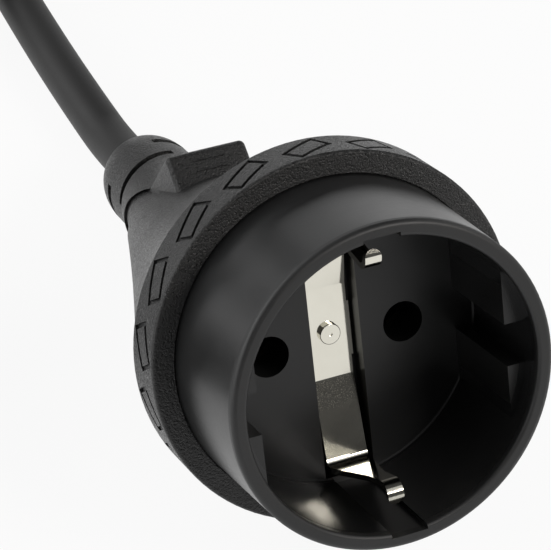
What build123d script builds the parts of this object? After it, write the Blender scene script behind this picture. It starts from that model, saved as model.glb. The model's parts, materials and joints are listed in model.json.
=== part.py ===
from build123d import *
import os
from math import atan2, cos, degrees, pi, radians, sin, tan

# An earthed trailing socket on a mains cord, with an inlet plug at the cord's far end.
# Millimetres. The socket lies tipped back on its collar and its strain relief, mouth towards -Y.
# Its own frame has X along the pins, Y along the earth strap and Z out of the mouth, with z = 0 at
# the lip, so a depth into the socket is a negative z.

# Recess of the socket
pin_spacing = 19.0
pin_hole_radius = 2.8
recess_radius = 19.75
recess_depth = 18.25
rib_flat = 16.95
rib_start = 3.45
rib_gap = 5.8
groove_width = 5.0
groove_depth = 0.5

# Cup: the hard insert that holds the contacts
lip_width = 2.05
lip_rounding = 0.7
mouth_rounding = 0.5
floor_corner = 0.2
cup_draft = 0.45
cup_length = 18.05
seat_step = 1.75
hole_floor = 6.5
block_wall = 1.8
block_back = 40.75
cover_thickness = 2.0
earth_chamber_radius = 3.0
earth_chamber_depth = 26.25

# Live and neutral contacts
sleeve_bore = 2.35
sleeve_wall = 1.45
sleeve_play = 0.4
sleeve_length = 10.5
sleeve_slit = 0.8
crimp_radius = 1.9
crimp_length = 4.5

# Earth strap
strap_width = 5.8
strap_thickness = 0.8
strap_sink = 2.5
strap_flat = 6.4
strap_reach = 17.9
strap_rise = 2.25
strap_bend = 1.3
strap_shoulder = 0.25
strap_shoulder_reach = 3.8
tongue_width = 2.2
tongue_taper = 8.5
tongue_touch = 14.6
tongue_touch_depth = 4.9
tongue_curl_step = 1.0
tongue_curl_turn = 40.0
tongue_curl_steps = 3
slot_side_play = 0.6
rivet_radius = 1.45
rivet_proud = 0.65
rivet_edge = 0.12
rivet_pip_radius = 0.3
rivet_pip_depth = 0.15
rivet_barrel_radius = 2.4
rivet_barrel_length = 5.0

# Grip: the soft overmould
collar_radius = 25.4
collar_width = 7.2
collar_rounding = 0.4
collar_rear_rounding = 0.3
seam_gap = 0.2
seam_depth = 0.5
collar_step = 0.4
frame_count = 18
frame_width = 6.0
frame_length = 3.6
frame_line = 0.6
frame_depth = 0.45
frame_slant = 28.0
neck_radius = 7.3
neck_depth = 80.75
flare_sections = 9
side_flare_power = 1.1
top_flare_power = 1.9
pad_half_width = 6.0
pad_height = 14.2
pad_foot = 3.0
pad_crest_depth = 60.75
pad_front_slope = 48.0
pad_rear_slope = 39.0
pad_rounding = 1.0
pad_side_rounding = 0.8
pad_line_length = 4.6
pad_line_width = 0.35
pad_line_height = 0.12
pad_line_places = (1.7, 3.3)
scoop_depth = 0.45
scoop_horn_depth = 62.25
scoop_half_height = 7.7
scoop_rear_run = 14.3
scoop_front_run = 6.5
relief_radius = 7.2
relief_end_depth = 93.25
relief_end_radius = 4.2
relief_dome = 7.0
relief_neck = 9.5
relief_root = 10.0
relief_bend = 3.8
relief_slot_width = 1.3
relief_slot_floor = 5.1
relief_slot_arc = 100.0
relief_slot_turn = 126.0
relief_slot_back = 7.1
relief_slot_pitch = 5.2

# Cord
cord_radius = 3.6
cord_lift = 0.05
core_radius = 1.1
core_circle = 1.45
core_bend = 8.0

# Put-away coil and its tie
coil_radius = 36.0
coil_lower_arc = 305.0
coil_overlap_arc = 15.0
coil_corner = 2.4
coil_turns = 1.5
tie_width = 4.8
tie_thickness = 1.0
tie_rounding = 3.0
tie_head_length = 7.4
tie_head_depth = 5.4
tie_head_height = 4.6
tie_stub = 4.0

# Plug
plug_width = 30.0
plug_height = 22.0
plug_length = 36.0
plug_rounding = 3.2
plug_mouth_width = 24.5
plug_mouth_height = 16.8
plug_mouth_corner = 4.6
plug_mouth_depth = 15.5
carrier_thickness = 7.0
blade_thickness = 2.0
blade_height = 4.0
blade_spacing = 14.0
blade_earth_offset = 4.0
blade_start = 3.0
blade_tail = 2.0
blade_chamfer = 0.6
plug_relief_length = 24.0
plug_relief_base = 7.6
plug_relief_end = 4.4
plug_groove_count = 5
plug_groove_pitch = 3.0
plug_groove_width = 1.3
plug_groove_length = 19.0
plug_groove_depth = 0.6
plug_groove_rear = 6.0

# What follows from these sizes
floor_depth = recess_depth
lip_radius = recess_radius + lip_width
seam_radius = lip_radius + cup_draft
seat_radius = seam_radius - seat_step
collar_back = cup_length + collar_width
strap_depth = floor_depth + strap_sink
slot_floor_depth = strap_depth + strap_thickness
slot_width = strap_width + 2 * slot_side_play
sleeve_radius = sleeve_bore + sleeve_wall
chamber_radius = sleeve_radius + sleeve_play
chamber_depth = floor_depth + hole_floor
pin_x = pin_spacing / 2
block_half_x = pin_x + chamber_radius + block_wall
block_half_y = chamber_radius + block_wall
cover_back = block_back + cover_thickness
flare_front_radius = collar_radius - collar_step
relief_shoulder_depth = relief_end_depth - relief_dome
relief_pivot_depth = relief_shoulder_depth - relief_neck
relief_root_depth = neck_depth - relief_root
cord_diameter = 2 * cord_radius
cord_rest = cord_radius + cord_lift
plug_total = plug_length + plug_relief_length


def bar(radius, front, back, x=0.0, y=0.0):
    """A round bar along the socket's axis, from one depth to another."""
    height = back - front
    return Pos(x, y, -(front + back) / 2) * Cylinder(radius, height)


def block(width, height, front, back, x=0.0, y=0.0):
    """A box along the socket's axis, from one depth to another."""
    return Pos(x, y, -(front + back) / 2) * Box(width, height, back - front)


def turned(points):
    """A body of revolution from (radius, depth) points joined by straight lines."""
    outline = Polyline(*[(r, -depth) for r, depth in points], close=True)
    return revolve(Plane.XZ * make_face(outline), Axis.Z)


def wire_core(points):
    """An insulated core through these points."""
    path = FilletPolyline(*points, radius=core_bend)
    return sweep((path ^ 0) * Circle(core_radius), path=path)


def core_place(angle):
    """Centre of one core in the cord's section."""
    return core_circle * cos(radians(angle)), core_circle * sin(radians(angle))


# Cup

def make_cup():
    shell = turned([
        (0, 0), (lip_radius, 0), (seam_radius, cup_length),
        (seat_radius, cup_length), (seat_radius, collar_back), (0, collar_back)])
    shell = fillet(shell.edges().filter_by(GeomType.CIRCLE).sort_by(Axis.Z)[-1], lip_rounding)
    recess = bar(recess_radius, 0, floor_depth)
    recess = chamfer(recess.edges().filter_by(GeomType.CIRCLE).sort_by(Axis.Z)[0], floor_corner)
    rim = [(0, 0)]
    for step in range(7):
        angle = radians(15 * step)
        rim.append((
            recess_radius + mouth_rounding * (1 - sin(angle)), mouth_rounding * (1 - cos(angle))))
    recess += turned(rim + [(0, mouth_rounding)])
    rib_ring = bar(recess_radius, rib_start, floor_depth)
    rib_sides = rib_ring - block(2 * rib_flat, 2 * recess_radius, 0, floor_depth)
    ribs = rib_sides - block(2 * recess_radius, rib_gap, 0, floor_depth)
    recess -= ribs
    groove_span = 2 * (recess_radius + groove_depth)
    recess += block(groove_width, groove_span, 0, floor_depth)
    cup = shell - recess
    slot_half = strap_reach + strap_thickness + slot_side_play
    cup -= block(slot_width, 2 * slot_half, floor_depth, slot_floor_depth)
    cup += block(2 * block_half_x, 2 * block_half_y, collar_back, block_back)
    for x in (-pin_x, pin_x):
        cup -= bar(pin_hole_radius, floor_depth, chamber_depth, x)
        cup -= bar(chamber_radius, chamber_depth, block_back, x)
    cup -= bar(rivet_radius, slot_floor_depth, earth_chamber_depth)
    cup -= bar(earth_chamber_radius, earth_chamber_depth, block_back)
    return cup


def make_cover():
    cover = block(2 * block_half_x, 2 * block_half_y, block_back, cover_back)
    for x in (-pin_x, 0, pin_x):
        cover -= bar(core_radius, block_back, cover_back, x)
    return cover


# Contacts and earth strap

def make_contact(x):
    end = chamber_depth + sleeve_length
    sleeve = bar(sleeve_radius, chamber_depth, end, x)
    sleeve -= bar(sleeve_bore, chamber_depth, end - sleeve_wall, x)
    sleeve -= block(sleeve_slit, 2 * sleeve_radius, chamber_depth, end - 2 * sleeve_wall, x)
    return sleeve + bar(crimp_radius, end, end + crimp_length, x)


def make_strap():
    """A bent spring strip: a sunk flat, a ramp to each side and an upright tongue with a curled tip."""
    half = strap_thickness / 2
    flat_z = -strap_depth - half
    bend_z = flat_z + strap_rise
    touch_y = tongue_touch + half
    line = [(strap_flat, flat_z), (strap_reach + half, bend_z), (touch_y, -tongue_touch_depth)]
    heading = atan2(-tongue_touch_depth - bend_z, touch_y - strap_reach - half)
    for step in range(tongue_curl_steps):
        heading -= radians(tongue_curl_turn)
        y, z = line[-1]
        line.append((y + tongue_curl_step * cos(heading), z + tongue_curl_step * sin(heading)))
    left = [(-y, z) for y, z in line[::-1]]
    middle = FilletPolyline(*(left + line), radius=strap_bend)
    spring = extrude(Plane.YZ * trace(middle, strap_thickness), strap_width / 2, both=True)
    wide = strap_width / 2
    slim = tongue_width / 2
    shoulder = bend_z + strap_bend
    waist = shoulder + tongue_taper
    base = flat_z - strap_thickness
    plan = make_face(Polyline(
        (-wide, base), (wide, base), (wide, shoulder), (slim, waist), (slim, 0),
        (-slim, 0), (-slim, waist), (-wide, shoulder), close=True))
    spring &= extrude(Plane.XZ * plan, 2 * strap_reach, both=True)
    corners = spring.edges().filter_by(
        lambda edge: edge.center().Z > -tongue_touch_depth
        and abs(edge.center().Y) > tongue_touch + tongue_curl_step
        and abs(edge.length - strap_thickness) < strap_thickness / 100)
    spring = fillet(corners, slim * 0.95)
    spring += block(
        strap_width + 2 * strap_shoulder, 2 * strap_shoulder_reach, strap_depth, slot_floor_depth)
    return spring - bar(rivet_radius, floor_depth, slot_floor_depth + strap_thickness)


def make_rivet():
    barrel_end = earth_chamber_depth + rivet_barrel_length
    top = strap_depth - rivet_proud
    rivet = bar(rivet_radius, top, earth_chamber_depth)
    rivet = fillet(rivet.edges().filter_by(GeomType.CIRCLE).sort_by(Axis.Z)[-1], rivet_edge)
    rivet -= bar(rivet_pip_radius, top, top + rivet_pip_depth)
    return rivet + bar(rivet_barrel_radius, earth_chamber_depth, barrel_end)


# Grip

def flare(inset=0.0):
    """The grip's flare: ellipses that widen from the neck to the collar, sooner at the sides."""
    sections = []
    for i in range(flare_sections):
        share = i / (flare_sections - 1)
        depth = neck_depth + (collar_back - neck_depth) * share
        growth = flare_front_radius - neck_radius
        side = neck_radius + growth * share ** side_flare_power - inset
        top = neck_radius + growth * share ** top_flare_power - inset
        sections.append(Pos(0, 0, -depth) * Ellipse(side, top))
    return loft(sections)


def make_pad():
    """A finger pad on the grip's upper side: a ridge across the flare, with two fine lines."""
    rise = pad_height - pad_foot
    front_run = rise / tan(radians(pad_front_slope))
    rear_run = rise / tan(radians(pad_rear_slope))
    side = make_face(Polyline(
        (pad_height, -pad_crest_depth), (pad_foot, -pad_crest_depth + front_run),
        (pad_foot, -pad_crest_depth - rear_run), close=True))
    pad = extrude(Plane.YZ * side, pad_half_width, both=True)
    crest = pad.edges().filter_by(Axis.X).sort_by(Axis.Y)[-1]
    pad = fillet(crest, pad_rounding)
    sides = pad.edges().filter_by(
        lambda edge: abs(abs(edge.center().X) - pad_half_width) < pad_rounding / 100
        and edge.center().Y > pad_foot + pad_rounding / 100)
    pad = fillet(sides, pad_side_rounding)
    slope = radians(pad_front_slope)
    for run in pad_line_places:
        y = pad_height - run * sin(slope)
        z = -pad_crest_depth + run * cos(slope)
        turn = Rot(90 - pad_front_slope, 0, 0)
        pad += Pos(0, y, z) * turn * Box(pad_line_length, 2 * pad_line_height, pad_line_width)
    return pad


def make_scoops():
    """Crescent hollows on the two sides of the flare, where finger and thumb sit."""
    rear = Ellipse(scoop_half_height, scoop_rear_run)
    front = Ellipse(scoop_half_height, scoop_front_run)
    ahead = Pos(0, scoop_rear_run) * Rectangle(4 * scoop_half_height, 2 * scoop_rear_run)
    crescent = Pos(0, -scoop_horn_depth) * (rear - front - ahead)
    through = extrude(Plane.YZ * crescent, collar_radius, both=True)
    return through - flare(scoop_depth)


def tipped_back():
    """The angle at which the collar's rear edge and the strain relief's dome both touch the surface."""
    angles = []
    bend = radians(relief_bend)
    for step in range(91):
        swing = radians(step)
        radius = relief_end_radius + (relief_radius - relief_end_radius) * cos(swing)
        run = relief_shoulder_depth + relief_dome * sin(swing) - relief_pivot_depth
        below = radius * cos(bend) - run * sin(bend)
        depth = relief_pivot_depth + run * cos(bend) + radius * sin(bend)
        angles.append(atan2(collar_radius - below, depth - collar_back))
    return min(angles)


def bent(solid):
    """Turned with the strain relief, which the cord bends a little upwards."""
    return Pos(0, 0, -relief_pivot_depth) * Rot(relief_bend, 0, 0) * Pos(0, 0, relief_pivot_depth) * solid


def make_relief():
    """The strain relief: a round neck with a domed end."""
    neck = bar(relief_radius, relief_root_depth, relief_shoulder_depth)
    cap = EllipticalCenterArc(
        (relief_end_radius, -relief_shoulder_depth), relief_radius - relief_end_radius, relief_dome,
        start_angle=270, arc_size=90)
    outline = cap + Polyline(
        cap @ 1, (0, -relief_shoulder_depth), (0, -relief_end_depth), cap @ 0)
    return bent(neck + revolve(Plane.XZ * make_face(outline), Axis.Z))


def make_relief_slots():
    """Two rows of slots that let the strain relief flex, each row a quarter turn from the other."""
    slots = []
    for row in range(2):
        depth = relief_end_depth - relief_slot_back - (1 - row) * relief_slot_pitch
        reach = 2 * relief_radius - relief_slot_floor
        section = Pos(relief_slot_floor + reach / 2, -depth) * Rectangle(reach, relief_slot_width)
        ring = revolve(Plane.XZ * section, Axis.Z, relief_slot_arc)
        for half in range(2):
            turn = relief_slot_turn - relief_slot_arc / 2 - 90 * row + 180 * half
            slots.append(bent(Rot(0, 0, turn) * ring))
    return slots


def make_grip(cores):
    collar = bar(collar_radius, cup_length, collar_back)
    rims = collar.edges().filter_by(GeomType.CIRCLE).sort_by(Axis.Z)
    collar = fillet(rims[-1], collar_rounding)
    rims = collar.edges().filter_by(GeomType.CIRCLE).sort_by(Axis.Z)
    collar = fillet(rims[0], collar_rear_rounding)
    collar -= bar(seam_radius + seam_gap, cup_length, cup_length + seam_depth)
    collar += bar(seam_radius, cup_length, cup_length + seam_depth)
    frame_middle = (cup_length + collar_back) / 2
    outer = Box(2 * frame_depth, frame_width, frame_length)
    inner = Box(2 * frame_depth, frame_width - 2 * frame_line, frame_length - 2 * frame_line)
    for spot in PolarLocations(collar_radius, frame_count, start_angle=180 / frame_count):
        collar -= Pos(0, 0, -frame_middle) * spot * Rot(frame_slant, 0, 0) * (outer - inner)
    pad = make_pad()
    pads = pad + mirror(pad, about=Plane.XZ)
    body = flare() + pads - (make_scoops() - pads)
    body += collar
    body += make_relief()
    for slot in make_relief_slots():
        body -= slot
    body -= bar(seat_radius, cup_length, collar_back)
    body -= block(2 * block_half_x, 2 * block_half_y, collar_back, cover_back)
    for core in cores:
        body -= core
    return body


# Plug

def mouth_outline():
    half_w = plug_mouth_width / 2
    half_h = plug_mouth_height / 2
    cut = plug_mouth_corner
    return make_face(Polyline(
        (-half_w, -half_h), (half_w, -half_h), (half_w, half_h - cut),
        (half_w - cut, half_h), (-half_w + cut, half_h), (-half_w, half_h - cut), close=True))


def mouth_prism(front, back):
    return Pos(0, 0, -back) * extrude(mouth_outline(), back - front)


def make_blade(x, y, tail_depth):
    blade = block(blade_thickness, blade_height, blade_start, tail_depth, x, y)
    tips = blade.faces().sort_by(Axis.Z)[-1].edges()
    return chamfer(tips, blade_chamfer)


def make_plug_body(filling):
    body = block(plug_width, plug_height, 0, plug_length)
    body = fillet(body.edges().filter_by(Axis.Z), plug_rounding)
    body = fillet(body.faces().sort_by(Axis.Z)[0].edges(), plug_rounding - 0.4)
    relief = Pos(0, 0, -plug_length - plug_relief_length / 2) * Rot(180, 0, 0) * Cone(
        plug_relief_base, plug_relief_end, plug_relief_length)
    body += relief
    body -= mouth_prism(0, plug_mouth_depth + carrier_thickness)
    for i in range(plug_groove_count):
        z = -plug_length + plug_groove_rear + i * plug_groove_pitch
        for y in (-plug_height / 2, plug_height / 2):
            body -= Pos(0, y, z) * Box(plug_groove_length, 2 * plug_groove_depth, plug_groove_width)
    for solid in filling:
        body -= solid
    return body


# Socket pieces, in the socket's own frame

sleeve_end = chamber_depth + sleeve_length + crimp_length
rivet_end = earth_chamber_depth + rivet_barrel_length
bend_depth = cover_back + core_bend / 2


def socket_core(x, start, angle):
    """A core of the socket: back from its contact, then in to its place in the strain relief."""
    a, b = core_place(angle)
    root = bent(Pos(a, b, -relief_pivot_depth)).position
    end = bent(Pos(a, b, -relief_end_depth)).position
    return wire_core([(x, 0, -start), (x, 0, -bend_depth), root, end])


socket = {
    "socket_cup": make_cup(),
    "contact_cover": make_cover(),
    "earth_strap": make_strap(),
    "earth_rivet": make_rivet(),
    "live_contact": make_contact(-pin_x),
    "neutral_contact": make_contact(pin_x),
    "live_core": socket_core(-pin_x, sleeve_end, 150),
    "neutral_core": socket_core(pin_x, sleeve_end, 30),
    "earth_core": socket_core(0, rivet_end, 270),
}
socket["grip_body"] = make_grip(
    [socket[name] for name in ("live_core", "neutral_core", "earth_core")])

# The socket lies on its collar's rear edge and on its strain relief, centred on the origin
tilt = tipped_back()
lying = Rot(90 - degrees(tilt), 0, 0)
laid = Compound(children=[lying * socket["grip_body"], lying * socket["socket_cup"]]).bounding_box()
place_socket = Pos(0, -(laid.min.Y + laid.max.Y) / 2, -laid.min.Z) * lying
parts = {name: place_socket * solid for name, solid in socket.items()}

# Cord: out of the strain relief, down on to the surface and straight back to the coil
leave = (place_socket * bent(Pos(0, 0, -relief_end_depth))).position
landing = (leave.Z - cord_rest) / tan(tilt - radians(relief_bend))
coil_base = tie_thickness + cord_lift
coil_z = coil_base + cord_radius
lead_steps = [
    (0.0, 0.0, leave.Z), (0.0, landing, cord_rest), (-0.25, 2 * landing, cord_rest),
    (-0.3, 36.0, cord_rest), (0.1, 54.0, cord_rest), (0.3, 72.5, coil_z), (0.3, 91.0, coil_z)]
lead_route = [Vector(leave.X + x, leave.Y + y, z) for x, y, z in lead_steps]
coil_start = lead_route[-1]
coil_centre = Vector(coil_start.X - coil_radius, coil_start.Y, 0)


def route_radii(points, share=0.45):
    """The largest tangent arc that each corner of a route has room for."""
    radii = []
    for a, b, c in zip(points, points[1:], points[2:]):
        turn = radians((b - a).get_angle(c - b))
        radii.append(share * min((b - a).length, (c - b).length) / tan(turn / 2))
    return radii


def cord_tube(points):
    path = FilletPolyline(*points, radius=route_radii(points))
    return sweep((path ^ 0) * Circle(cord_radius), path=path), path.length


def make_coil():
    section = RectangleRounded(cord_diameter, cord_diameter, coil_corner)
    lower = revolve(Plane.XZ * (Pos(coil_radius, coil_z) * section), Axis.Z, coil_lower_arc)
    upper_arc = 360 * coil_turns - coil_lower_arc + coil_overlap_arc
    upper = revolve(
        Plane.XZ * (Pos(coil_radius, coil_z + cord_diameter) * section), Axis.Z, upper_arc)
    upper = Rot(0, 0, coil_lower_arc - coil_overlap_arc) * upper
    return Pos(coil_centre.X, coil_centre.Y, 0) * (lower + upper)


def make_tie():
    """A cable tie round the two turns at the back of the coil, with its head inside the ring."""
    inner_height = 2 * cord_diameter
    hole = RectangleRounded(cord_diameter, inner_height, coil_corner)
    outside = RectangleRounded(
        cord_diameter + 2 * tie_thickness, inner_height + 2 * tie_thickness, tie_rounding)
    section = Pos(coil_radius, coil_base + cord_diameter) * (outside - hole)
    arc = degrees(tie_width / coil_radius)
    band = Rot(0, 0, 90 - arc / 2) * revolve(Plane.XZ * section, Axis.Z, arc)
    inside = coil_radius - cord_radius - tie_thickness / 2
    head_z = coil_base + cord_diameter
    head = Pos(0, inside - tie_head_depth / 2, head_z) * Box(
        tie_head_length, tie_head_depth, tie_head_height)
    stub = Pos(0, inside - tie_head_depth / 2, head_z + (tie_head_height + tie_stub) / 2) * Box(
        tie_width, tie_thickness, tie_stub)
    return Pos(coil_centre.X, coil_centre.Y, 0) * (band + head + stub)


# Tail of the cord, from the end of the coil to the plug
coil_end = Vector(coil_centre.X - coil_radius, coil_centre.Y, coil_z + cord_diameter)
plug_axis = plug_height / 2 + cord_lift
tail_steps = [
    (0.0, 0.0, coil_end.Z), (0.0, 14.0, coil_end.Z), (3.5, 31.0, coil_end.Z + 0.3),
    (9.5, 48.0, plug_axis + 0.3), (11.5, 60.0, plug_axis), (11.5, 68.0, plug_axis)]
tail_route = [Vector(coil_end.X + x, coil_end.Y - y, z) for x, y, z in tail_steps]
plug_rear = tail_route[-1]

parts["cord_coil"] = make_coil()
parts["coil_tie"] = make_tie()
parts["cord_lead"], lead_length = cord_tube(lead_route)
parts["cord_tail"], tail_length = cord_tube(tail_route)

# Plug pieces, in a frame like the socket's: Z out of the mouth, z = 0 at its rim
carrier_back = plug_mouth_depth + carrier_thickness
blade_end = carrier_back + blade_tail
pole_y = -blade_earth_offset / 2
blades = {
    "plug_live_pin": make_blade(-blade_spacing / 2, pole_y, blade_end),
    "plug_neutral_pin": make_blade(blade_spacing / 2, pole_y, blade_end),
    "plug_earth_pin": make_blade(0, -pole_y, blade_end),
}
plug_bend = blade_end + 2 * core_radius
plug_gather = plug_length + core_bend


def plug_core(x, y, angle):
    """A core of the plug: back from its blade, then in to its place in the cord."""
    a, b = core_place(angle)
    return wire_core([
        (x, y, -blade_end), (x, y, -plug_bend), (a, b, -plug_gather), (a, b, -plug_total)])


plug_cores = {
    "plug_live_core": plug_core(-blade_spacing / 2, pole_y, 210),
    "plug_neutral_core": plug_core(blade_spacing / 2, pole_y, 330),
    "plug_earth_core": plug_core(0, -pole_y, 90),
}
carrier = mouth_prism(plug_mouth_depth, carrier_back)
for blade in blades.values():
    carrier -= blade
plug = {
    "plug_body": make_plug_body(list(blades.values()) + list(plug_cores.values())),
    "plug_carrier": carrier,
}
plug.update(blades)
plug.update(plug_cores)
place_plug = Pos(plug_rear.X, plug_rear.Y - plug_total, plug_axis) * Rot(90, 0, 0)
parts.update({name: place_plug * solid for name, solid in plug.items()})

os.makedirs("parts", exist_ok=True)
for name, solid in parts.items():
    export_step(solid, f"parts/{name}.step")


def metres(spot):
    return [round(v / 1000, 6) for v in (spot.X, spot.Y, spot.Z)]


coil_length = 2 * pi * coil_radius * coil_turns
out = (place_socket * Pos(0, 0, 1)).position - place_socket.position
print("tilt", round(degrees(tilt), 3), "out of the mouth", [round(v, 5) for v in (out.X, out.Y, out.Z)])
for x in (-pin_x, pin_x):
    hole = (place_socket * Pos(x, 0, -(floor_depth + hole_floor / 2))).position
    print("pin hole", metres(hole))
print("mouth centre", metres(place_socket.position))
lip_flat = (recess_radius + mouth_rounding + lip_radius - lip_rounding) / 2
print("lip spot", metres((place_socket * Pos(lip_flat, 0, 0)).position))
print("plug mouth centre", metres(place_plug.position))
print("cord exit", metres(leave), "coil centre", metres(coil_centre), "coil end", metres(coil_end))
print("lead", [metres(p) for p in lead_route], [round(r, 1) for r in route_radii(lead_route)])
print("tail", [metres(p) for p in tail_route], [round(r, 1) for r in route_radii(tail_route)])
print("cord length", round(lead_length, 1), round(coil_length, 1), round(tail_length, 1))
section = pi * cord_radius ** 2
print("tube volumes against section by length",
      round(parts["cord_lead"].volume / (section * lead_length), 4),
      round(parts["cord_tail"].volume / (section * tail_length), 4))
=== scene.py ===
import json
from math import cos, radians, sin

import bpy
from mathutils import Matrix, Vector


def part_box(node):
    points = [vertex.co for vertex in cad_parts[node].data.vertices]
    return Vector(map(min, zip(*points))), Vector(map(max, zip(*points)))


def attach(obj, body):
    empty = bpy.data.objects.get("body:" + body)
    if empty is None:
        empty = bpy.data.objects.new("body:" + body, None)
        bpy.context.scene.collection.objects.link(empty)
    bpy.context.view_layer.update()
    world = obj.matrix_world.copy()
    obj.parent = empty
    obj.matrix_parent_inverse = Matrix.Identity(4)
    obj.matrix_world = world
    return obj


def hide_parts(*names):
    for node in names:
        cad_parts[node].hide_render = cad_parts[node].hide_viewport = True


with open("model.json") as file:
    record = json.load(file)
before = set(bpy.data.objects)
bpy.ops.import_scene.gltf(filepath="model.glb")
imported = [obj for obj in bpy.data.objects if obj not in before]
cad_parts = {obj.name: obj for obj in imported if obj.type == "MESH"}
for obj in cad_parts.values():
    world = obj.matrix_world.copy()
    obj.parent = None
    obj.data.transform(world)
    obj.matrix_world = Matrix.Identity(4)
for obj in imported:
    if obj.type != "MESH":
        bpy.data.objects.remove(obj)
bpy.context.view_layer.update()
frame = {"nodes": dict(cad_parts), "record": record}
nodes = frame["nodes"]

# Sizes in metres, in the model's own frame
CORD_RADIUS = 0.0036
CORD_EXIT = (0.0, 0.047362, 0.005847)
COIL_CENTRE = (-0.0357, 0.138362)
COIL_RADIUS = 0.036
COIL_LOW = 0.00465
COIL_HIGH = 0.01185
TEETH_OFFSET = 0.0287
TEETH_DROP = 0.0033
SOCKET_MOUTH = (0.0, -0.042235, 0.031584)
SOCKET_TIP = 16.699  # degrees
SOCKET_MIDDLE = (0.0, -0.02, 0.03)

# The photo's width in pixels, its camera's focal length in pixels, and the sensor in millimetres
PHOTO_WIDTH = 551
FOCAL_PIXELS = 2606.03
SENSOR_WIDTH = 36.0


class Signal:
    """A socket of a material's nodes that takes part in sums as a number does."""

    def __init__(self, finish, socket):
        self.finish = finish
        self.socket = socket

    def __add__(self, other):
        return self.finish.sum("ADD", self, other)

    __radd__ = __add__

    def __mul__(self, other):
        return self.finish.sum("MULTIPLY", self, other)

    __rmul__ = __mul__

    def __sub__(self, other):
        return self.finish.sum("SUBTRACT", self, other)

    def __rsub__(self, other):
        return self.finish.sum("SUBTRACT", other, self)

    def __pow__(self, other):
        return self.finish.sum("POWER", self, other)

    def __gt__(self, other):
        return self.finish.sum("GREATER_THAN", self, other)

    def __lt__(self, other):
        return self.finish.sum("LESS_THAN", self, other)


class Finish:
    """A surface finish: a material with one Principled shader and the nodes that feed it."""

    def __init__(self, name, **constants):
        self.material = bpy.data.materials.new(name)
        self.material.use_nodes = True
        self.tree = self.material.node_tree
        self.shader = self.tree.nodes["Principled BSDF"]
        for socket, value in constants.items():
            self.shader.inputs[socket.replace("_", " ")].default_value = value

    def node(self, kind, settings, sockets, out=0):
        made = self.tree.nodes.new(kind)
        for key, value in settings.items():
            setattr(made, key, value)
        for key, value in sockets.items():
            self.feed(made.inputs[key], value)
        return Signal(self, made.outputs[out])

    def feed(self, socket, value):
        if isinstance(value, Signal):
            self.tree.links.new(value.socket, socket)
        else:
            socket.default_value = value

    def sum(self, operation, a, b):
        return self.node("ShaderNodeMath", {"operation": operation}, {0: a, 1: b})

    def limit(self, value, low, high):
        return self.node("ShaderNodeClamp", {}, {"Value": value, "Min": low, "Max": high})

    def place(self, turn=(0.0, 0.0, 0.0), stretch=(1.0, 1.0, 1.0)):
        spot = self.node("ShaderNodeTexCoord", {}, {}, "Object")
        return self.node("ShaderNodeMapping", {}, {
            "Vector": spot, "Rotation": turn, "Scale": stretch})

    def socket_place(self):
        """Coordinates of the socket itself: x along the pins, y along the strap, z out of the mouth."""
        spot = self.node("ShaderNodeTexCoord", {}, {}, "Object")
        return self.node("ShaderNodeMapping", {"vector_type": "TEXTURE"}, {
            "Vector": spot, "Location": SOCKET_MOUTH, "Rotation": (radians(90 - SOCKET_TIP), 0.0, 0.0)})

    def parts(self, spot):
        made = self.tree.nodes.new("ShaderNodeSeparateXYZ")
        self.feed(made.inputs[0], spot)
        return [Signal(self, out) for out in made.outputs]

    def noise(self, spot, scale, detail=2.0, roughness=0.5):
        return self.node("ShaderNodeTexNoise", {}, {
            "Vector": spot, "Scale": scale, "Detail": detail, "Roughness": roughness})

    def blend(self, share, a, b):
        mix = self.tree.nodes.new("ShaderNodeMix")
        mix.data_type = "RGBA"
        self.feed(mix.inputs[0], share)
        self.feed(mix.inputs[6], a)
        self.feed(mix.inputs[7], b)
        return Signal(self, mix.outputs[2])

    def bump(self, height, distance, strength=1.0):
        return self.node("ShaderNodeBump", {}, {
            "Height": height, "Distance": distance, "Strength": strength})

    def use(self, **signals):
        for socket, signal in signals.items():
            self.feed(self.shader.inputs[socket.replace("_", " ")], signal)
        return self.material


def grey(level, warm=0.0):
    return (level * (1 + warm), level, level * (1 - warm), 1.0)


def grained_rubber():
    """Soft black overmould with a fine spark-eroded grain."""
    finish = Finish("grained_rubber", IOR=1.47)
    spot = finish.place()
    grain = finish.noise(spot, 3200.0, 2.0, 0.7)
    cloud = finish.noise(spot, 160.0, 3.0, 0.55)
    tone = finish.limit(cloud * 0.4 + (grain - 0.5) * 1.6 + 0.3, 0.0, 1.0)
    return finish.use(
        Base_Color=finish.blend(tone, grey(0.006), grey(0.021)),
        Roughness=finish.limit((grain - 0.5) * 1.0 + cloud * 0.16 + 0.32, 0.22, 0.8),
        Normal=finish.bump(grain, 0.00022, 0.8))


def satin_plastic():
    """Hard black insert plastic: satin, a smoother recess wall, a duller rim and faint rubbed marks; the
    recess interior's colour is painted darker as painted shade.
    """
    finish = Finish("satin_plastic", IOR=1.5)
    spot = finish.place()
    x, y, z = finish.parts(finish.socket_place())
    radius = (x * x + y * y) ** 0.5
    depth = 0.0 - z
    recess_finish_and_shade = (radius < 0.02) * (depth > 0.0008)
    wall = recess_finish_and_shade * (radius > 0.0188) * (depth < 0.0175)
    rim = depth < 0.0012
    cloud = finish.noise(spot, 120.0, 3.0, 0.6)
    fine = finish.noise(spot, 4200.0, 1.0)
    scuff = finish.noise(finish.place(turn=(0.0, 0.0, 0.5), stretch=(1.0, 14.0, 14.0)), 150.0, 3.0)
    outside = 1.0 - recess_finish_and_shade
    # Painted shade: inside the recess the base colour is pulled darker and its marks evened out (tone
    # times 0.4).
    tone = finish.limit((cloud * 0.6 + scuff * 0.25 + fine * 0.15) * (1.0 - recess_finish_and_shade * 0.6), 0.0, 1.0)
    satin = cloud * 0.1 + scuff * 0.08 * outside + 0.23
    return finish.use(
        Base_Color=finish.blend(tone, grey(0.006, -0.02), grey(0.018, -0.02)),
        Roughness=finish.limit(satin + recess_finish_and_shade * 0.07 - wall * 0.1 + rim * 0.16, 0.17, 0.7),
        Normal=finish.bump(fine * (outside * 0.9 + 0.1), 0.00002, 0.4))


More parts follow.
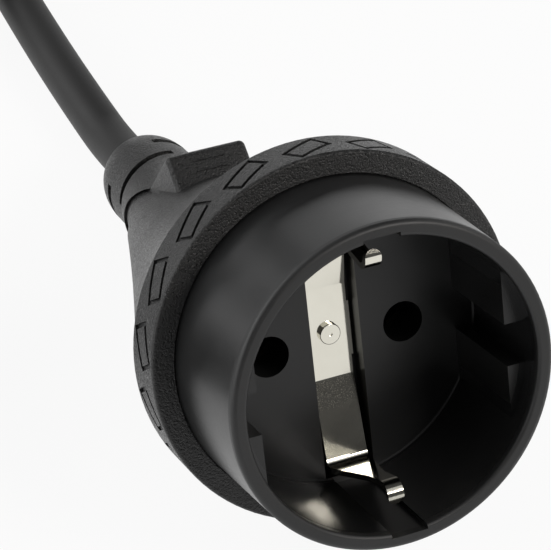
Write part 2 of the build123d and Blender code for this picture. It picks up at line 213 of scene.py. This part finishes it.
def jacket():
    """Black cord jacket with a soft sheen and a slight extrusion ripple."""
    finish = Finish("cord_jacket", IOR=1.5)
    spot = finish.place()
    ripple = finish.noise(spot, 220.0, 2.0)
    fine = finish.noise(spot, 3000.0, 2.0)
    return finish.use(
        Base_Color=finish.blend(ripple, grey(0.007), grey(0.014)),
        Roughness=finish.limit(ripple * 0.1 + fine * 0.1 + 0.44, 0.25, 0.6),
        Normal=finish.bump(fine, 0.00001, 0.4))


def nickel():
    """Bright nickel plate: drawing lines along the strip, and a gritty ramp at its lower end whose
    colour is painted dark as painted shade, standing in for the dark reflection the ramp shows.
    """
    finish = Finish("nickel_plate", Metallic=1.0)
    local = finish.socket_place()
    y = finish.parts(local)[1]
    reach = (y * y) ** 0.5
    ramp = (y < -0.0066) * (reach < 0.0168)
    along = finish.node("ShaderNodeMapping", {}, {"Vector": local, "Scale": (30.0, 1.0, 30.0)})
    lines = finish.noise(along, 260.0, 3.0, 0.6)
    spot = finish.place()
    speck = finish.noise(spot, 5600.0, 2.0, 0.7)
    fade = finish.limit(1.2 - (reach - 0.0066) * 90.0, 0.15, 1.0)
    grit = finish.limit((speck - 0.46) * 6.0, 0.0, 1.0) * ramp * fade
    cloud = finish.noise(spot, 240.0, 2.0)
    tone = finish.blend(cloud, (0.65, 0.63, 0.55, 1.0), (0.74, 0.72, 0.64, 1.0))
    return finish.use(
        # Painted shade: the whole ramp's base colour is pulled towards dark grey (ramp * 0.35) in place
        # of the dark surroundings it reflects; the grit specks darken it further in spots.
        Base_Color=finish.blend(grit * 0.45 + ramp * 0.35, tone, (0.24, 0.23, 0.2, 1.0)),
        Roughness=finish.limit(
            lines * 0.06 + grit * 0.18 + ramp * 0.02 + cloud * 0.04 + 0.04, 0.05, 0.5),
        Normal=finish.bump(lines * 0.4 + speck * ramp * fade * 0.8, 0.00001, 0.4))


def brass():
    """Plain brass contact, coloured almost black as painted shade for the shadow inside the pin holes.
    """
    finish = Finish("contact_brass", Metallic=1.0)
    cloud = finish.noise(finish.place(), 420.0, 4.0, 0.6)
    return finish.use(
        # Painted shade: the near-black base colour stands in for the shadow deep in the pin holes.
        Base_Color=finish.blend(cloud, (0.014, 0.012, 0.01, 1.0), (0.03, 0.026, 0.02, 1.0)),
        Roughness=finish.limit(cloud * 0.3 + 0.35, 0.35, 0.7))


def core_cover(name, dark, light):
    """Insulation of one core."""
    finish = Finish(name)
    cloud = finish.noise(finish.place(), 300.0, 2.0)
    return finish.use(
        Base_Color=finish.blend(cloud, dark, light),
        Roughness=finish.limit(cloud * 0.2 + 0.35, 0.3, 0.6))


def earth_cover():
    """Green insulation with yellow stripes along it."""
    finish = Finish("earth_cover")
    spot = finish.place(turn=(0.0, radians(45), 0.0))
    stripe = finish.node("ShaderNodeTexWave", {"wave_type": "BANDS", "bands_direction": "X"}, {
        "Vector": spot, "Scale": 90.0, "Distortion": 0.0})
    return finish.use(
        Base_Color=finish.blend(stripe > 0.5, (0.04, 0.22, 0.05, 1.0), (0.7, 0.6, 0.05, 1.0)),
        Roughness=finish.limit(stripe * 0.05 + 0.4, 0.3, 0.6))


def tie_nylon():
    """Black nylon of the cable tie."""
    finish = Finish("tie_nylon", IOR=1.53)
    spot = finish.place()
    cloud = finish.noise(spot, 300.0, 3.0)
    fine = finish.noise(spot, 2000.0)
    return finish.use(
        Base_Color=finish.blend(cloud, grey(0.02), grey(0.04)),
        Roughness=finish.limit(cloud * 0.2 + 0.3, 0.25, 0.6),
        Normal=finish.bump(fine, 0.00003, 0.4))


FINISHES = {
    "cup_plastic": satin_plastic(),
    "grip_rubber": grained_rubber(),
    "cord_jacket": jacket(),
    "nickel_plate": nickel(),
    "contact_brass": brass(),
    "brown_core": core_cover("brown_cover", (0.1, 0.035, 0.012, 1.0), (0.2, 0.08, 0.03, 1.0)),
    "blue_core": core_cover("blue_cover", (0.01, 0.06, 0.3, 1.0), (0.03, 0.12, 0.46, 1.0)),
    "green_yellow_core": earth_cover(),
    "tie_band": tie_nylon(),
}
FINISHES["plug_plastic"] = FINISHES["grip_rubber"]

for part in frame["record"]["subparts"]:
    coat = FINISHES[part["material_slot"]]
    mesh = nodes[part["node"]].data
    mesh.materials.clear()
    mesh.materials.append(coat)


def coil_height(angle):
    """The cord lies on the surface for most of the first turn, then climbs on to it."""
    share = min(max((angle - 250) / 65, 0.0), 1.0)
    ease = share * share * (3 - 2 * share)
    return COIL_LOW + (COIL_HIGH - COIL_LOW) * ease


def cord_route():
    """The cord's control points: back from the strain relief, one and a half turns, on to the plug."""
    rest = 0.00365
    lead = [
        CORD_EXIT, (0.0, 0.056955, rest), (-0.00025, 0.066548, rest), (-0.0003, 0.083362, rest),
        (0.0001, 0.101362, rest), (0.0003, 0.119862, COIL_LOW)]
    step = 22.5
    polygon = COIL_RADIUS / (0.75 + 0.25 * cos(radians(step)))
    turns = []
    for k in range(24):
        angle = step * (k + 0.5)
        turns.append((
            COIL_CENTRE[0] + polygon * cos(radians(angle)),
            COIL_CENTRE[1] + polygon * sin(radians(angle)),
            coil_height(angle)))
    tail = [
        (-0.0717, 0.124362, COIL_HIGH), (-0.0682, 0.107362, 0.01215), (-0.0622, 0.090362, 0.01135),
        (-0.0602, 0.078362, 0.01105), (-0.0602, 0.070362, 0.01105)]
    return lead + turns + tail


def make_cord():
    line = bpy.data.curves.new("mains_cord", "CURVE")
    line.dimensions = "3D"
    line.bevel_depth = CORD_RADIUS
    line.bevel_resolution = 10
    line.resolution_u = 16
    line.use_fill_caps = True
    route = cord_route()
    spline = line.splines.new("NURBS")
    spline.points.add(len(route) - 1)
    for point, spot in zip(spline.points, route):
        point.co = (*spot, 1.0)
    spline.order_u = 3
    spline.use_endpoint_u = True
    line.materials.append(FINISHES["cord_jacket"])
    cord = bpy.data.objects.new("mains_cord", line)
    bpy.context.collection.objects.link(cord)
    return cord


mains_cord = make_cord()
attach(mains_cord, "root")
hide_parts("cord_lead", "cord_coil", "cord_tail")


def tooth_row():
    """Nodes that set a row of equal teeth along a line."""
    tree = bpy.data.node_groups.new("tooth_row", "GeometryNodeTree")
    face = tree.interface
    face.new_socket("Geometry", in_out="INPUT", socket_type="NodeSocketGeometry")
    face.new_socket("Count", in_out="INPUT", socket_type="NodeSocketInt")
    face.new_socket("Start", in_out="INPUT", socket_type="NodeSocketVector")
    face.new_socket("Pitch", in_out="INPUT", socket_type="NodeSocketVector")
    face.new_socket("Tooth", in_out="INPUT", socket_type="NodeSocketVector")
    face.new_socket("Finish", in_out="INPUT", socket_type="NodeSocketMaterial")
    face.new_socket("Geometry", in_out="OUTPUT", socket_type="NodeSocketGeometry")
    given = tree.nodes.new("NodeGroupInput")
    line = tree.nodes.new("GeometryNodeMeshLine")
    tooth = tree.nodes.new("GeometryNodeMeshCube")
    spread = tree.nodes.new("GeometryNodeInstanceOnPoints")
    solid = tree.nodes.new("GeometryNodeRealizeInstances")
    paint = tree.nodes.new("GeometryNodeSetMaterial")
    out = tree.nodes.new("NodeGroupOutput")
    for source, target in (
            (given.outputs["Count"], line.inputs["Count"]),
            (given.outputs["Start"], line.inputs["Start Location"]),
            (given.outputs["Pitch"], line.inputs["Offset"]),
            (given.outputs["Tooth"], tooth.inputs["Size"]),
            (line.outputs["Mesh"], spread.inputs["Points"]),
            (tooth.outputs["Mesh"], spread.inputs["Instance"]),
            (spread.outputs["Instances"], solid.inputs["Geometry"]),
            (solid.outputs["Geometry"], paint.inputs["Geometry"]),
            (given.outputs["Finish"], paint.inputs["Material"]),
            (paint.outputs["Geometry"], out.inputs["Geometry"])):
        tree.links.new(source, target)
    return tree


def make_tie_teeth():
    """The ratchet teeth on the free end of the cable tie."""
    tie_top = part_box("coil_tie")[1][2]
    tooth = (0.0034, 0.0005, 0.0004)
    start = (COIL_CENTRE[0], COIL_CENTRE[1] + TEETH_OFFSET, tie_top - TEETH_DROP)
    blank = bpy.data.objects.new("tie_teeth_blank", bpy.data.meshes.new("tie_teeth_blank"))
    bpy.context.collection.objects.link(blank)
    tree = tooth_row()
    rule = blank.modifiers.new("teeth", "NODES")
    rule.node_group = tree
    sizes = {
        "Count": 4, "Start": start, "Pitch": (0.0, 0.0, 0.0008), "Tooth": tooth,
        "Finish": FINISHES["tie_band"]}
    for item in tree.interface.items_tree:
        if item.in_out == "INPUT" and item.name in sizes:
            rule[item.identifier] = sizes[item.name]
    ready = blank.evaluated_get(bpy.context.evaluated_depsgraph_get())
    mesh = bpy.data.meshes.new_from_object(ready)
    mesh.name = "tie_teeth"
    bpy.data.objects.remove(blank)
    teeth = bpy.data.objects.new("tie_teeth", mesh)
    bpy.context.collection.objects.link(teeth)
    return teeth


tie_teeth = make_tie_teeth()
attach(tie_teeth, "root")


def pale_floor():
    """White floor: close to full white to the eye and to reflections, with a faint shadow kept in it."""
    white_share = 0.92
    material = bpy.data.materials.new("pale_floor")
    material.use_nodes = True
    tree = material.node_tree
    tree.nodes.clear()
    path = tree.nodes.new("ShaderNodeLightPath")
    seen = tree.nodes.new("ShaderNodeMath")
    seen.operation = "MAXIMUM"
    tree.links.new(path.outputs["Is Camera Ray"], seen.inputs[0])
    tree.links.new(path.outputs["Is Glossy Ray"], seen.inputs[1])
    share = tree.nodes.new("ShaderNodeMath")
    share.operation = "MULTIPLY"
    share.inputs[1].default_value = white_share
    tree.links.new(seen.outputs[0], share.inputs[0])
    matt = tree.nodes.new("ShaderNodeBsdfDiffuse")
    matt.inputs["Color"].default_value = (0.9, 0.9, 0.9, 1.0)
    glow = tree.nodes.new("ShaderNodeEmission")
    mix = tree.nodes.new("ShaderNodeMixShader")
    tree.links.new(share.outputs[0], mix.inputs[0])
    tree.links.new(matt.outputs[0], mix.inputs[1])
    tree.links.new(glow.outputs[0], mix.inputs[2])
    out = tree.nodes.new("ShaderNodeOutputMaterial")
    tree.links.new(mix.outputs[0], out.inputs["Surface"])
    return material


def make_floor():
    mesh = bpy.data.meshes.new("floor")
    reach = 3.0
    mesh.from_pydata(
        [(-reach, -reach, 0), (reach, -reach, 0), (reach, reach, 0), (-reach, reach, 0)],
        [], [(0, 1, 2, 3)])
    mesh.materials.append(pale_floor())
    floor = bpy.data.objects.new("floor", mesh)
    bpy.context.collection.objects.link(floor)


make_floor()

scene = bpy.context.scene
scene.view_settings.view_transform = "Standard"


def white_world(level):
    """White to the eye, and a dim surround of the given level to everything else."""
    world = bpy.data.worlds.new("studio")
    scene.world = world
    world.use_nodes = True
    tree = world.node_tree
    path = tree.nodes.new("ShaderNodeLightPath")
    seen = tree.nodes.new("ShaderNodeMath")
    seen.operation = "MAXIMUM"
    tree.links.new(path.outputs["Is Camera Ray"], seen.inputs[0])
    tree.links.new(path.outputs["Is Transmission Ray"], seen.inputs[1])
    strength = tree.nodes.new("ShaderNodeMath")
    strength.operation = "MULTIPLY_ADD"
    strength.inputs[1].default_value = 1 - level
    strength.inputs[2].default_value = level
    tree.links.new(seen.outputs[0], strength.inputs[0])
    sky = tree.nodes["Background"]
    sky.inputs["Color"].default_value = (1, 1, 1, 1)
    tree.links.new(strength.outputs[0], sky.inputs["Strength"])


def softbox(name, place, size, power, tint=(1.0, 1.0, 1.0)):
    """A rectangular lamp that faces the socket."""
    light = bpy.data.lights.new(name, "AREA")
    light.shape = "RECTANGLE"
    light.size = size[0]
    light.size_y = size[1]
    light.energy = power
    light.color = tint
    lamp = bpy.data.objects.new(name, light)
    facing = (Vector(SOCKET_MIDDLE) - Vector(place)).to_track_quat("-Z", "Y")
    lamp.matrix_world = Matrix.Translation(place) @ facing.to_matrix().to_4x4()
    bpy.context.collection.objects.link(lamp)


white_world(0.08)
softbox("right_light", (0.33, 1.07, 0.2), (0.8, 0.35), 1.0)
softbox("back_light", (-0.7, 0.7, 0.5), (1.0, 0.5), 2.5)
softbox("top_light", (-0.5, 0.6, 0.9), (1.4, 1.0), 2.5)
softbox("left_light", (-0.95, 0.15, 0.35), (1.2, 0.6), 5.0)
softbox("front_light", (0.1, -0.5, 0.68), (0.8, 0.4), 0.75)
softbox("fill_light", (0.9, 0.1, 0.45), (1.0, 0.7), 2.0)
softbox("spot_light", (0.33, -0.5, 0.42), (0.3, 0.13), 2.2, (1.0, 0.96, 0.92))


def photo_camera():
    """The camera of the reference view: where it stands and its right, up and back directions."""
    data = bpy.data.cameras.new("photo_camera")
    data.sensor_fit = "HORIZONTAL"
    data.sensor_width = SENSOR_WIDTH
    data.lens = FOCAL_PIXELS / PHOTO_WIDTH * SENSOR_WIDTH
    data.clip_start = 0.01
    data.clip_end = 20.0
    right = (0.916656, -0.399493, 0.012079)
    up = (0.235793, 0.564946, 0.790719)
    back = (-0.322711, -0.721970, 0.612060)
    stand = (-0.113845, -0.259890, 0.238751)
    camera = bpy.data.objects.new("photo_camera", data)
    camera.matrix_world = Matrix((
        (right[0], up[0], back[0], stand[0]),
        (right[1], up[1], back[1], stand[1]),
        (right[2], up[2], back[2], stand[2]),
        (0, 0, 0, 1)))
    bpy.context.collection.objects.link(camera)
    scene.camera = camera


photo_camera()
